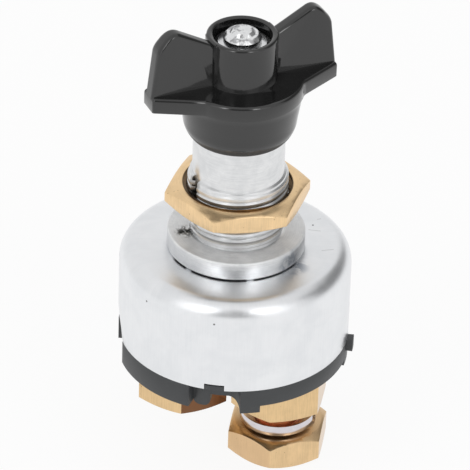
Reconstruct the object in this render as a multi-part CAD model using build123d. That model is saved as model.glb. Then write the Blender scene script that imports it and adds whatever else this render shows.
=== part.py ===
from build123d import *
import math
import os

# Battery disconnect switch, in millimetres.
# The origin is the centre of the flange's top face, which seats against the panel,
# and +Z runs up the threaded neck to the wing knob.

# Drawn steel can
can_d = 51.0
can_wall = 1.5
can_h = 21.9
can_edge_r = 4.0
can_notch_from = -103.4
can_notch_to = -93.5
can_notch_h = 1.4

# Flanged and threaded bush
flange_d = 30.2
flange_t = 4.3
neck_d = 20.0
thread_d = 22.0
thread_from = 3.6
thread_to = 14.6
thread_runout = 0.6
spigot_d = 18.0
swage_lip = 1.2
swage_h = 1.1
edge_break = 0.3
key_slot_az = -152.0
key_slot_w = 2.6
key_slot_h = 1.1
stake_pit_r = 11.3
stake_pit_az = -166.0
stake_pit_l = 3.4
stake_pit_w = 1.5
stake_pit_h = 0.5

# Panel nut
nut_af = 28.0
nut_t = 4.6
nut_z = 7.0
nut_corner_az = 12.0
nut_chamfer_deg = 22.0

# Spindle, with its square ends and its riveted head
spindle_d = 10.0
square_af = 7.0
rivet_neck_d = 6.0
rivet_d = 8.2
rivet_h = 2.4
rivet_side_h = 1.3
rivet_shoulder_d = 6.8
rivet_shoulder_h = 2.1
rivet_face_d = 3.0
seal_depth = 10.3
seal_section = 2.0
seal_groove_h = 2.5

# Wing knob
knob_foot_z = 24.8
cup_h = 10.4
cup_hollow_h = 12.6
collar_d = 27.4
collar_t = 3.4
collar_round = 0.8
cup_lip_t = 0.45
cup_belly_d = 23.7
cup_belly_h = 1.6
cup_bulge_d = 24.8
cup_bulge_h = 3.8
collar_step = 0.3
ring_d = 15.5
ring_h = 10.5
ring_wall = 1.3
ring_round = 0.6
recess_depth = 2.8
knob_washer_d = 10.6
knob_washer_t = 0.8
wing_az = 24.5
wing_reach = 21.5
ear_tip_w = 5.0
ear_tip_round = 0.6
ear_root_w = 14.8
ear_root_reach = 11.4
ear_blend_r = 3.0
wing_h = 14.9
wing_peak_reach = 16.9
wing_root_drop = 0.7
wing_foot_t = 3.6
wing_top_t = 2.1
wing_corner_r = 4.0
wing_lean = 0.75
wing_round = 0.8

# Cam rotor, which turns with the spindle and drives the contacts down
thrust_washer_t = 0.6
rotor_gap = 6.0
rotor_t = 2.0
turn_deg = 90.0
contact_travel = 2.5
ramp_edge = 1.5
ramp_w = 6.0
ramp_min_h = 0.3
lug_deg = 20.0
ramp_margin_deg = 2.0
clip_t = 0.8
clip_lip = 2.4
clip_groove_depth = 0.3

# Contact carrier and copper bridge
carrier_gap = 2.75
carrier_t = 1.4
carrier_key_w = 5.0
carrier_stem_d = 7.8
stem_groove_depth = 0.6
carrier_tail = 0.9
pressure_spring_h = 1.6
pressure_spring_t = 0.6
pressure_spring_d = 15.0
bridge_w = 13.0
bridge_t = 2.5
tip_d = 7.0
tip_t = 0.8
tip_rivet_d = 4.0
carrier_clip_t = 0.6
carrier_clip_d = 11.0

# Return spring in the middle of the base
return_wire = 0.7
return_wire_sides = 8
return_coil_d = 6.4
return_turns = 3.5
well_depth = 3.1

# Moulded base
base_floor_t = 4.3
base_wall_t = 2.2
base_wall_gap = 4.7
rim_h = 5.5
rim_wall = 2.8
rim_low_h = 4.15
rim_low_to = -14.5
front_gap_from = -111.2
front_gap_to = -85.4
front_lug_to = -75.5
front_lug_h = 5.8
left_gap_from = 176.5
left_gap_to = 197.8
gap_wall_t = 2.0
gap_wall_h = 3.1
gap_wall_end_deg = 3.0
gap_tooth_from = -111.3
gap_tooth_to = -101.5
gap_tooth_h = 6.3
gap_tooth_round = 1.5
side_bump = 1.35
side_bump_from = -10.0
side_bump_to = -4.5
side_bump_h = 2.8
key_play_deg = 0.4
guide_slot_depth = 1.2

# Brass terminals under the base, side by side inside its rim
terminal_line_az = -6.5
terminal_spacing_gap = 1.9
terminal_rim_gap = 0.74
terminal_hex_h = 16.93
terminal_shank_d = 10.0
terminal_head_gap = 1.0
terminal_head_t = 0.5
silver_d = 8.0
silver_t = 0.6
terminal_thread_d = 10.0
terminal_thread_depth = 14.0
drill_point_deg = 30.0
mouth_chamfer = 0.6
terminal_chamfer_deg = 20.0
left_corner_az = 28.5
right_corner_az = 20.5

# Terminal bolt and its split washer
bolt_af = 20.5
bolt_head_h = 7.0
bolt_l = 16.0
bolt_tip_chamfer = 1.0
bolt_corner_az = 22.0
washer_gap = 3.1
split_washer_d = 17.0
split_washer_t = 2.4
split_washer_rise = 0.9
split_deg = 14.0
split_az = -25.0
hex_chamfer_deg = 30.0
hex_face_share = 0.94

# Clearances, and how far a cutting shape runs past what it cuts
running = 0.05
thread_play = 0.1
free_gap = 0.3
seat_gap = 0.08
cut_over = 0.5

# Heights that follow from the sizes above
can_top_z = -flange_t
can_foot_z = can_top_z - can_h
swage_foot_z = can_top_z - can_wall - swage_h
rotor_top_z = swage_foot_z - thrust_washer_t
rotor_foot_z = rotor_top_z - rotor_t
cam_pitch = contact_travel * 360 / turn_deg
ramp_deg = turn_deg + lug_deg + 2 * ramp_margin_deg
ramp_deep_z = rotor_foot_z - ramp_min_h - cam_pitch * ramp_deg / 360
carrier_top_z = ramp_deep_z - free_gap
carrier_foot_z = carrier_top_z - carrier_t
bridge_top_z = carrier_foot_z - pressure_spring_h
bridge_foot_z = bridge_top_z - bridge_t
tip_foot_z = bridge_foot_z - tip_t
stem_foot_z = bridge_foot_z - carrier_clip_t - carrier_tail
fixed_contact_z = tip_foot_z - contact_travel
base_floor_z = fixed_contact_z - silver_t - terminal_head_t
base_under_z = base_floor_z - base_floor_t
well_foot_z = base_floor_z - well_depth
base_wall_top_z = can_top_z - can_wall - base_wall_gap
rim_foot_z = can_foot_z - rim_h
knob_web_z = knob_foot_z + cup_hollow_h
collar_z = knob_foot_z + cup_h
collar_top_z = collar_z + collar_t
ring_top_z = collar_top_z + ring_h
wing_peak_z = collar_top_z + wing_h
wing_root_z = ring_top_z - wing_root_drop
neck_top_z = knob_web_z - seat_gap
seal_z = neck_top_z - seal_depth
recess_floor_z = ring_top_z - recess_depth
terminal_foot_z = base_under_z - terminal_hex_h
washer_top_z = terminal_foot_z - washer_gap
bolt_head_z = washer_top_z - split_washer_t
can_inner_r = can_d / 2 - can_wall
clip_groove_r = square_af / 2 - clip_groove_depth
stem_groove_r = carrier_stem_d / 2 - stem_groove_depth
plug_r = can_inner_r - running
base_bore_r = plug_r - base_wall_t
rotor_d = 2 * (can_inner_r - rotor_gap)
ramp_mean_r = rotor_d / 2 - ramp_edge - ramp_w / 2
carrier_d = 2 * (base_bore_r - carrier_gap)
half_hex_deg = 30
corner_share = 1 / math.cos(math.radians(half_hex_deg))
rim_room = can_d / 2 - rim_wall - terminal_rim_gap
terminal_reach = (rim_room + terminal_spacing_gap / 2 * corner_share) / (1 + corner_share)
terminal_af = 2 * terminal_reach - terminal_spacing_gap
terminal_head_d = 2 * (terminal_reach - return_coil_d / 2 - terminal_head_gap)
bridge_l = 2 * terminal_reach + bridge_w
terminal_places = {
    "left_terminal": (180 + terminal_line_az, left_corner_az),
    "right_terminal": (terminal_line_az, right_corner_az),
}


def polar(radius, az):
    """Point in the plane at a radius and an azimuth in degrees."""
    return (radius * math.cos(math.radians(az)), radius * math.sin(math.radians(az)))


def tube(outer_r, inner_r, low_z, high_z):
    """Plain ring about the Z axis, or a disc where the inner radius is 0."""
    section = Circle(outer_r)
    if inner_r > 0:
        section -= Circle(inner_r)
    return Pos(0, 0, low_z) * extrude(section, high_z - low_z)


def turned(*points):
    """Body turned about the Z axis from a closed outline of (radius, z) points."""
    outline = Polyline(*[(r, 0, z) for r, z in points], close=True)
    return revolve(make_face(outline), Axis.Z)


def block(length, width, low_z, high_z, reach=0.0, az=0.0):
    """Box that stands between two heights, centred at a reach along an azimuth."""
    return Rot(0, 0, az) * Pos(reach, 0, low_z) * extrude(Rectangle(length, width), high_z - low_z)


def sector(outer_r, inner_r, low_z, high_z, az_from, az_to):
    """Part of a ring between two azimuths."""
    widest_step_deg = 45
    steps = math.ceil((az_to - az_from) / widest_step_deg)
    fan = [polar(2 * outer_r, az_from + (az_to - az_from) * k / steps) for k in range(steps + 1)]
    wedge = make_face(Polyline((0, 0), *fan, close=True))
    body = Pos(0, 0, low_z) * extrude(wedge, high_z - low_z)
    return tube(outer_r, inner_r, low_z, high_z) & body


def square_bar(af, low_z, high_z):
    """Square bar about the Z axis."""
    return block(af, af, low_z, high_z)


def hex_bar(af, low_z, high_z, corner_az, chamfer_deg, face_share, low_chamfer=True, high_chamfer=True):
    """Hexagon bar whose end faces are chamfered to a circle, as on a turned hexagon."""
    corner_r = af / 2 * corner_share
    corners = [polar(corner_r, corner_az + 60 * k) for k in range(6)]
    prism = Pos(0, 0, low_z) * extrude(make_face(Polyline(*corners, close=True)), high_z - low_z)
    face_r = af / 2 * face_share
    drop = (corner_r - face_r) * math.tan(math.radians(chamfer_deg))
    low = [(0, low_z), (corner_r, low_z)]
    high = [(corner_r, high_z), (0, high_z)]
    if low_chamfer:
        low = [(0, low_z), (face_r, low_z), (corner_r, low_z + drop)]
    if high_chamfer:
        high = [(corner_r, high_z - drop), (face_r, high_z), (0, high_z)]
    return prism & turned(*low, *high)


def helix_bar(mean_r, pitch, turn, section, start_az, low_z, left_hand=False):
    """Section swept along a helix about the Z axis, upwards from a start azimuth."""
    path = Helix(pitch=pitch, height=pitch * turn / 360, radius=mean_r, lefthand=left_hand)
    start = Plane(origin=path @ 0, x_dir=(1, 0, 0), z_dir=path % 0)
    return Pos(0, 0, low_z) * Rot(0, 0, start_az) * sweep(start * section, path=path, is_frenet=True)


def housing_can():
    """Can drawn from steel sheet, open below, with a hole for the bush and a key notch in its edge."""
    outer_r = can_d / 2
    inner_edge_r = can_edge_r - can_wall
    slant = math.sqrt(0.5)
    outline = Line((spigot_d / 2, can_top_z), (outer_r - can_edge_r, can_top_z))
    outline += ThreePointArc(
        (outer_r - can_edge_r, can_top_z),
        (outer_r - can_edge_r * (1 - slant), can_top_z - can_edge_r * (1 - slant)),
        (outer_r, can_top_z - can_edge_r),
    )
    outline += Polyline(
        (outer_r, can_top_z - can_edge_r),
        (outer_r, can_foot_z),
        (can_inner_r, can_foot_z),
        (can_inner_r, can_top_z - can_edge_r),
    )
    outline += ThreePointArc(
        (can_inner_r, can_top_z - can_edge_r),
        (can_inner_r - inner_edge_r * (1 - slant), can_top_z - can_wall - inner_edge_r * (1 - slant)),
        (can_inner_r - inner_edge_r, can_top_z - can_wall),
    )
    outline += Polyline(
        (can_inner_r - inner_edge_r, can_top_z - can_wall),
        (spigot_d / 2, can_top_z - can_wall),
        (spigot_d / 2, can_top_z),
    )
    shell = revolve(Plane.XZ * make_face(outline), Axis.Z)
    notch = sector(
        outer_r + cut_over, can_inner_r - cut_over,
        can_foot_z - cut_over, can_foot_z + can_notch_h, can_notch_from, can_notch_to)
    return shell - notch


def mounting_bush():
    """Flange, threaded neck and spigot turned in one; the spigot's lip is swaged under the can's top."""
    neck_r = neck_d / 2
    thread_r = thread_d / 2
    spigot_r = spigot_d / 2 - running
    lip_r = spigot_r + swage_lip
    relief = thread_r - neck_r
    body = turned(
        (spindle_d / 2 + running, swage_foot_z),
        (lip_r - swage_h / 2, swage_foot_z),
        (lip_r, can_top_z - can_wall),
        (spigot_r, can_top_z - can_wall),
        (spigot_r, can_top_z),
        (flange_d / 2 - edge_break, can_top_z),
        (flange_d / 2, can_top_z + edge_break),
        (flange_d / 2, -edge_break),
        (flange_d / 2 - edge_break, 0),
        (neck_r, 0),
        (neck_r, thread_from - thread_runout),
        (thread_r, thread_from - thread_runout + relief),
        (thread_r, thread_to),
        (neck_r, thread_to + thread_runout),
        (neck_r, neck_top_z - edge_break),
        (neck_r - edge_break, neck_top_z),
        (spindle_d / 2 + running, neck_top_z),
    )
    key_slot = block(2 * key_slot_h, key_slot_w, 0, thread_to + thread_runout, thread_r, key_slot_az)
    pit = block(stake_pit_l, stake_pit_w, -stake_pit_h, cut_over, stake_pit_r, stake_pit_az)
    return body - key_slot - pit


def panel_nut():
    """Thin hexagon nut that clamps the panel against the flange."""
    bore_r = thread_d / 2 + thread_play
    body = hex_bar(nut_af, nut_z, nut_z + nut_t, nut_corner_az, nut_chamfer_deg, hex_face_share)
    bore = turned(
        (0, nut_z),
        (bore_r + mouth_chamfer, nut_z),
        (bore_r, nut_z + mouth_chamfer),
        (bore_r, nut_z + nut_t - mouth_chamfer),
        (bore_r + mouth_chamfer, nut_z + nut_t),
        (0, nut_z + nut_t),
    )
    return body - bore


def spindle():
    """Steel spindle: round in the neck, square in the rotor and the knob, riveted over the knob's washer."""
    shaft_r = spindle_d / 2
    groove_r = shaft_r - seal_section + 2 * running
    rivet_foot_z = recess_floor_z + knob_washer_t
    clip_foot_z = rotor_foot_z - clip_t
    body = turned(
        (0, rotor_top_z),
        (shaft_r, rotor_top_z),
        (shaft_r, seal_z - seal_groove_h / 2),
        (groove_r, seal_z - seal_groove_h / 2),
        (groove_r, seal_z + seal_groove_h / 2),
        (shaft_r, seal_z + seal_groove_h / 2),
        (shaft_r, knob_web_z),
        (0, knob_web_z),
    )
    body += square_bar(square_af, knob_web_z, recess_floor_z)
    body += turned((0, recess_floor_z), (rivet_neck_d / 2, recess_floor_z), (rivet_neck_d / 2, rivet_foot_z),
                   (0, rivet_foot_z))
    body += turned(
        (0, rivet_foot_z),
        (rivet_d / 2, rivet_foot_z),
        (rivet_d / 2, rivet_foot_z + rivet_side_h),
        (rivet_shoulder_d / 2, rivet_foot_z + rivet_shoulder_h),
        (rivet_face_d / 2, rivet_foot_z + rivet_h),
        (0, rivet_foot_z + rivet_h),
    )
    body += square_bar(square_af, clip_foot_z - clip_t, rotor_top_z)
    groove = tube(shaft_r, clip_groove_r, clip_foot_z, rotor_foot_z)
    return body - groove


def spindle_seal():
    """Rubber O-ring that keeps water out of the neck."""
    mean_r = spindle_d / 2 + running - seal_section / 2
    ring = Pos(mean_r, 0, seal_z) * Rot(90, 0, 0) * Circle(seal_section / 2 - running)
    return revolve(ring, Axis.Z)


def thrust_washer():
    """Washer between the swaged lip and the rotor."""
    return tube(spigot_d / 2, spindle_d / 2 + running, rotor_top_z, swage_foot_z)


def knob_core():
    """Cup over the neck, the collar's middle and the hub ring of the knob, turned as one outline."""
    cup_r = neck_d / 2 + free_gap
    lip_r = cup_r + cup_lip_t
    bulge_r = cup_bulge_d / 2
    collar_r = collar_d / 2
    ring_r = ring_d / 2
    bore_r = ring_r - ring_wall
    slant = math.sqrt(0.5)
    outline = Line((cup_r, knob_foot_z), (lip_r, knob_foot_z))
    outline += ThreePointArc(
        (lip_r, knob_foot_z),
        (cup_belly_d / 2, knob_foot_z + cup_belly_h),
        (bulge_r, knob_foot_z + cup_bulge_h),
    )
    outline += Polyline(
        (bulge_r, knob_foot_z + cup_bulge_h),
        (collar_r - collar_step, collar_z),
        (collar_r - 2 * collar_round, collar_top_z),
        (ring_r, collar_top_z),
        (ring_r, ring_top_z - ring_round),
    )
    outline += ThreePointArc(
        (ring_r, ring_top_z - ring_round),
        (ring_r - ring_round * (1 - slant), ring_top_z - ring_round * (1 - slant)),
        (ring_r - ring_round, ring_top_z),
    )
    outline += Polyline(
        (ring_r - ring_round, ring_top_z),
        (bore_r, ring_top_z - ring_round / 2),
        (bore_r, recess_floor_z),
        (0, recess_floor_z),
        (0, knob_web_z),
        (cup_r, knob_web_z),
        (cup_r, knob_foot_z),
    )
    return revolve(Plane.XZ * make_face(outline), Axis.Z)


def knob_deck():
    """Collar and both tapered ears as one outline; one side of each ear flows into the collar."""
    collar_r = collar_d / 2
    ear = make_face(Polyline(
        (0, -ear_root_w / 2),
        (ear_root_reach, -ear_root_w / 2),
        (wing_reach, -ear_tip_w / 2),
        (wing_reach, ear_tip_w / 2),
        (ear_root_reach, ear_root_w / 2),
        (0, ear_root_w / 2),
        close=True,
    ))
    outline = Circle(collar_r) + ear + Rot(0, 0, 180) * ear
    midway = (collar_r + wing_reach) / 2
    roots = [v for v in outline.vertices() if v.X * v.Y < 0 and math.hypot(v.X, v.Y) < midway]
    outline = fillet(roots, ear_blend_r)
    tips = [v for v in outline.vertices() if math.hypot(v.X, v.Y) > wing_reach]
    outline = fillet(tips, ear_tip_round)
    deck = Pos(0, 0, collar_z) * extrude(outline, collar_t)
    return fillet(deck.faces().sort_by(Axis.Z)[-1].edges(), collar_round)


def knob_plate():
    """Tall leaning plate of one wing, tapered in thickness, with every outer edge rounded."""
    foot_z = collar_top_z - collar_round
    root_x = (ring_d - ring_wall) / 2
    side = FilletPolyline(
        (wing_reach, foot_z),
        (wing_reach - wing_lean, wing_peak_z - wing_corner_r),
        (wing_peak_reach + wing_lean, wing_peak_z + ring_round),
        (root_x, wing_root_z - ring_round / 2),
        radius=wing_corner_r,
    )
    side += Polyline((root_x, wing_root_z - ring_round / 2), (root_x, foot_z), (wing_reach, foot_z))
    plate = extrude(Plane.XZ * make_face(side), wing_foot_t, both=True)
    section = make_face(Polyline(
        (-wing_foot_t / 2, foot_z),
        (wing_foot_t / 2, foot_z),
        (wing_top_t / 2, wing_peak_z),
        (-wing_top_t / 2, wing_peak_z),
        close=True,
    ))
    plate &= extrude(Plane.YZ * section, wing_reach)
    clear = wing_top_t / 10
    outer = [
        e for e in plate.edges()
        if e.center().X > ring_d / 2 and e.center().Z > foot_z + clear and abs(e.center().Y) > clear
    ]
    return fillet(outer, wing_round)


def wing_knob():
    """Black moulded knob with two wings, a hub ring round the rivet and a cup over the neck."""
    hollow = tube(neck_d / 2 + free_gap, 0, knob_foot_z, knob_web_z)
    recess = tube(ring_d / 2 - ring_wall, 0, recess_floor_z, wing_peak_z)
    body = knob_core() + (knob_deck() - hollow)
    plate = knob_plate() - recess
    for half_turn in (0, 180):
        body += Rot(0, 0, half_turn) * plate
    return Rot(0, 0, wing_az) * body - square_bar(square_af + 2 * running, knob_web_z, recess_floor_z)


def knob_washer():
    """Plain washer under the riveted head, in the knob's recess."""
    return tube(knob_washer_d / 2, rivet_neck_d / 2 + running, recess_floor_z, recess_floor_z + knob_washer_t)


def cam_rotor():
    """Moulded disc on the spindle's square, with two helical ramps below that push the carrier down."""
    body = tube(rotor_d / 2, 0, rotor_foot_z, rotor_top_z)
    deep = cam_pitch * ramp_deg / 360 + ramp_min_h
    section = Pos(0, deep) * Rectangle(ramp_w, 2 * deep)
    zone = tube(rotor_d / 2, 0, ramp_deep_z - free_gap, rotor_foot_z)
    for lug_az in (0, 180):
        start_az = lug_az + lug_deg / 2 + ramp_margin_deg + turn_deg
        ramp = helix_bar(ramp_mean_r, cam_pitch, ramp_deg, section, start_az, ramp_deep_z, left_hand=True)
        body += ramp & zone
    return body - square_bar(square_af + 2 * running, rotor_foot_z, rotor_top_z)


def snap_clip(outer_r, inner_r, low_z, thickness, mouth):
    """Spring clip with an open mouth, snapped into a groove."""
    ring = tube(outer_r, inner_r, low_z, low_z + thickness)
    return ring - block(2 * outer_r, mouth, low_z, low_z + thickness, outer_r + inner_r / 2, 0)


def rotor_clip():
    """Clip under the rotor, in the spindle's groove."""
    inner_r = clip_groove_r + running
    return snap_clip(inner_r + clip_lip, inner_r, rotor_foot_z - clip_t, clip_t, square_af / 2)


def contact_carrier():
    """Moulded disc that can't turn, with two helical lugs above and a stem that holds the bridge below."""
    body = tube(carrier_d / 2, 0, carrier_foot_z, carrier_top_z)
    body += tube(carrier_stem_d / 2, 0, stem_foot_z, carrier_foot_z)
    key_reach = base_bore_r + guide_slot_depth - free_gap
    key_span = key_reach - carrier_d / 2 + 2 * free_gap
    for az in (90, 270):
        body += block(key_span, carrier_key_w, carrier_foot_z, carrier_top_z, key_reach - key_span / 2, az)
    low_edge_z = rotor_foot_z - ramp_min_h - cam_pitch * (ramp_margin_deg + lug_deg) / 360 - seat_gap
    lug_h = low_edge_z + cam_pitch - carrier_top_z
    section = Pos(0, -lug_h / 2) * Rectangle(ramp_w - 2 * free_gap, lug_h)
    zone = tube(carrier_d / 2, 0, carrier_top_z - free_gap, rotor_foot_z)
    for lug_az in (0, 180):
        start_az = lug_az + lug_deg / 2
        lug = helix_bar(ramp_mean_r, cam_pitch, lug_deg, section, start_az, low_edge_z, left_hand=True)
        body += lug & zone
    groove = tube(carrier_d / 2, stem_groove_r, bridge_foot_z - carrier_clip_t, bridge_foot_z)
    return body - groove


def pressure_spring():
    """Dished spring washer that presses the bridge onto the contacts."""
    hole_r = carrier_stem_d / 2 + free_gap
    outer_r = pressure_spring_d / 2
    return turned(
        (hole_r, bridge_top_z),
        (outer_r, carrier_foot_z - pressure_spring_t),
        (outer_r, carrier_foot_z),
        (hole_r, bridge_top_z + pressure_spring_t),
    )


def contact_bridge():
    """Copper bar with round ends that joins the two terminals when the switch is on."""
    bar = Pos(0, 0, bridge_foot_z) * extrude(SlotOverall(bridge_l, bridge_w), bridge_t)
    bar -= tube(carrier_stem_d / 2 + running, 0, bridge_foot_z, bridge_top_z)
    bar = Rot(0, 0, terminal_line_az) * bar
    for az in (terminal_line_az, terminal_line_az + 180):
        x, y = polar(terminal_reach, az)
        bar -= Pos(x, y, 0) * tube(tip_rivet_d / 2, 0, bridge_foot_z, bridge_top_z)
    return bar


def bridge_contacts():
    """Silver contact rivets in the bridge, above the terminals."""
    tips = []
    for az in (terminal_line_az, terminal_line_az + 180):
        x, y = polar(terminal_reach, az)
        tip = tube(tip_d / 2, 0, tip_foot_z, bridge_foot_z)
        tip += tube(tip_rivet_d / 2 - running, 0, bridge_foot_z, bridge_top_z)
        tips.append(Pos(x, y, 0) * tip)
    return Compound(children=tips)


def carrier_clip():
    """Clip on the carrier's stem, below the bridge."""
    inner_r = stem_groove_r + running
    foot_z = bridge_foot_z - carrier_clip_t
    return snap_clip(carrier_clip_d / 2, inner_r, foot_z, carrier_clip_t, carrier_stem_d / 2)


def return_spring():
    """Coil spring in the base's well that lifts the contacts off."""
    mean_r = (return_coil_d - return_wire) / 2
    low_z = well_foot_z + return_wire / 2 + seat_gap
    rise = stem_foot_z - return_wire / 2 - seat_gap - low_z
    wire = RegularPolygon(return_wire / 2, return_wire_sides)
    return helix_bar(mean_r, rise / return_turns, return_turns * 360, wire, 0, low_z)


def rim_cuts():
    """Gaps in the base's rim, and the low part of it, as sectors to cut away."""
    outer_r = can_d / 2 + side_bump + cut_over
    inner_r = can_d / 2 - rim_wall - cut_over
    deep_z = can_foot_z - front_lug_h - cut_over
    return [
        sector(outer_r, inner_r, deep_z, can_foot_z, front_gap_from, front_gap_to),
        sector(outer_r, inner_r, deep_z, can_foot_z, left_gap_from, left_gap_to),
        sector(outer_r, inner_r, deep_z, can_foot_z - rim_low_h, front_lug_to, rim_low_to),
        sector(outer_r, inner_r, deep_z, rim_foot_z, rim_low_to, 360 + front_gap_from),
    ]


def base_rim():
    """Rim under the can's edge, with its gaps, front lug and side bump."""
    rim_r = can_d / 2
    rim_inner_r = rim_r - rim_wall
    rim = tube(rim_r, rim_inner_r, can_foot_z - front_lug_h, can_foot_z)
    rim += sector(
        rim_r + side_bump, rim_inner_r, can_foot_z - side_bump_h, can_foot_z, side_bump_from, side_bump_to)
    for cut in rim_cuts():
        rim -= cut
    return rim


def lug_web():
    """Rounded web that runs from the wall in the front gap out and down to the front lug."""
    rim_r = can_d / 2
    start_az = front_gap_to - math.degrees(rim_wall / rim_r)
    foot_z = can_foot_z - front_lug_h
    web = sector(
        rim_r, rim_r - rim_wall - gap_wall_t, foot_z, can_foot_z, start_az, front_gap_to + gap_wall_end_deg)
    x, y = polar(rim_r, start_az)
    web -= Pos(x, y, 0) * tube(rim_wall, 0, foot_z, can_foot_z)
    under = extrude(Circle(front_lug_h - gap_wall_h), rim_r + cut_over)
    return web - Pos(0, 0, foot_z) * Rot(0, 0, start_az) * Rot(0, 90, 0) * under


def gap_tooth():
    """Tooth with rounded lower corners on the wall in the front gap."""
    wall_r = can_d / 2 - rim_wall
    tooth = sector(
        wall_r, wall_r - gap_wall_t, can_foot_z - gap_tooth_h, can_foot_z, gap_tooth_from, gap_tooth_to)
    return fillet(tooth.edges().filter_by(GeomType.LINE).group_by(Axis.Z)[0], gap_tooth_round)


def base_insulator():
    """Black moulded base: plug in the can, rim under its edge, walls that guide the carrier, and key."""
    wall_r = can_d / 2 - rim_wall
    gap_r = wall_r - gap_wall_t
    body = tube(plug_r, base_bore_r, base_floor_z, base_wall_top_z)
    body += tube(plug_r, 0, can_foot_z, base_floor_z)
    body += tube(wall_r, 0, base_under_z, can_foot_z)
    body += base_rim()
    body += sector(
        can_d / 2, base_bore_r, can_foot_z, can_foot_z + can_notch_h - free_gap,
        can_notch_from + key_play_deg, can_notch_to - key_play_deg)
    body += sector(
        wall_r, gap_r, can_foot_z - gap_wall_h, can_foot_z,
        front_gap_from - gap_wall_end_deg, front_gap_to + gap_wall_end_deg)
    body += lug_web()
    body += gap_tooth()
    for az in (90, 270):
        slot_w = carrier_key_w + 2 * free_gap
        body -= block(2 * guide_slot_depth, slot_w, base_floor_z, base_wall_top_z, base_bore_r, az)
    for az, _ in terminal_places.values():
        x, y = polar(terminal_reach, az)
        body -= Pos(x, y, 0) * tube(terminal_shank_d / 2, 0, base_under_z, base_floor_z)
    return body - tube(return_coil_d / 2 + free_gap, 0, well_foot_z, base_floor_z)


def terminal(name):
    """Brass terminal: hexagon below with a threaded hole, shank through the base, headed over above."""
    az, corner_az = terminal_places[name]
    body = hex_bar(
        terminal_af, terminal_foot_z, base_under_z, corner_az, terminal_chamfer_deg, hex_face_share,
        high_chamfer=False)
    body += tube(terminal_shank_d / 2 - running, 0, base_under_z, base_floor_z)
    body += tube(terminal_head_d / 2, 0, base_floor_z, base_floor_z + terminal_head_t)
    hole_r = terminal_thread_d / 2
    hole_top_z = terminal_foot_z + terminal_thread_depth
    body -= turned(
        (0, terminal_foot_z),
        (hole_r + mouth_chamfer, terminal_foot_z),
        (hole_r, terminal_foot_z + mouth_chamfer),
        (hole_r, hole_top_z),
        (0, hole_top_z + hole_r * math.tan(math.radians(drill_point_deg))),
    )
    x, y = polar(terminal_reach, az)
    return Pos(x, y, 0) * body


def fixed_contacts():
    """Silver faces on the terminals' heads."""
    faces = []
    for az, _ in terminal_places.values():
        x, y = polar(terminal_reach, az)
        faces.append(Pos(x, y, 0) * tube(silver_d / 2, 0, base_floor_z + terminal_head_t, fixed_contact_z))
    return Compound(children=faces)


def terminal_bolt():
    """Brass hexagon bolt in the right terminal, which clamps the cable's lug."""
    shank_r = terminal_thread_d / 2 - thread_play
    top_z = bolt_head_z + bolt_l
    body = hex_bar(
        bolt_af, bolt_head_z - bolt_head_h, bolt_head_z, bolt_corner_az, hex_chamfer_deg, hex_face_share)
    body += turned(
        (0, bolt_head_z),
        (shank_r, bolt_head_z),
        (shank_r, top_z - bolt_tip_chamfer),
        (shank_r - bolt_tip_chamfer, top_z),
        (0, top_z),
    )
    x, y = polar(terminal_reach, terminal_line_az)
    return Pos(x, y, 0) * body


def lock_washer():
    """Split spring washer of square section on the bolt, its ends sprung apart."""
    inner_r = terminal_thread_d / 2 + thread_play
    outer_r = split_washer_d / 2
    turn = 360 - split_deg
    section = Rectangle(outer_r - inner_r, split_washer_t)
    low_z = bolt_head_z + split_washer_t / 2 + running
    ring = helix_bar(
        (inner_r + outer_r) / 2, split_washer_rise * 360 / turn, turn, section, split_az + split_deg, low_z)
    x, y = polar(terminal_reach, terminal_line_az)
    return Pos(x, y, 0) * ring


nodes = {
    "housing_can": housing_can(),
    "mounting_bush": mounting_bush(),
    "panel_nut": panel_nut(),
    "spindle": spindle(),
    "spindle_seal": spindle_seal(),
    "thrust_washer": thrust_washer(),
    "wing_knob": wing_knob(),
    "knob_washer": knob_washer(),
    "cam_rotor": cam_rotor(),
    "rotor_clip": rotor_clip(),
    "contact_carrier": contact_carrier(),
    "pressure_spring": pressure_spring(),
    "contact_bridge": contact_bridge(),
    "bridge_contacts": bridge_contacts(),
    "carrier_clip": carrier_clip(),
    "return_spring": return_spring(),
    "base_insulator": base_insulator(),
    "left_terminal": terminal("left_terminal"),
    "right_terminal": terminal("right_terminal"),
    "fixed_contacts": fixed_contacts(),
    "terminal_bolt": terminal_bolt(),
    "lock_washer": lock_washer(),
}

os.makedirs("parts", exist_ok=True)
for name, shape in nodes.items():
    export_step(shape, f"parts/{name}.step")
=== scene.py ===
import math

import bmesh
import bpy
from mathutils import Matrix, Vector


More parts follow.
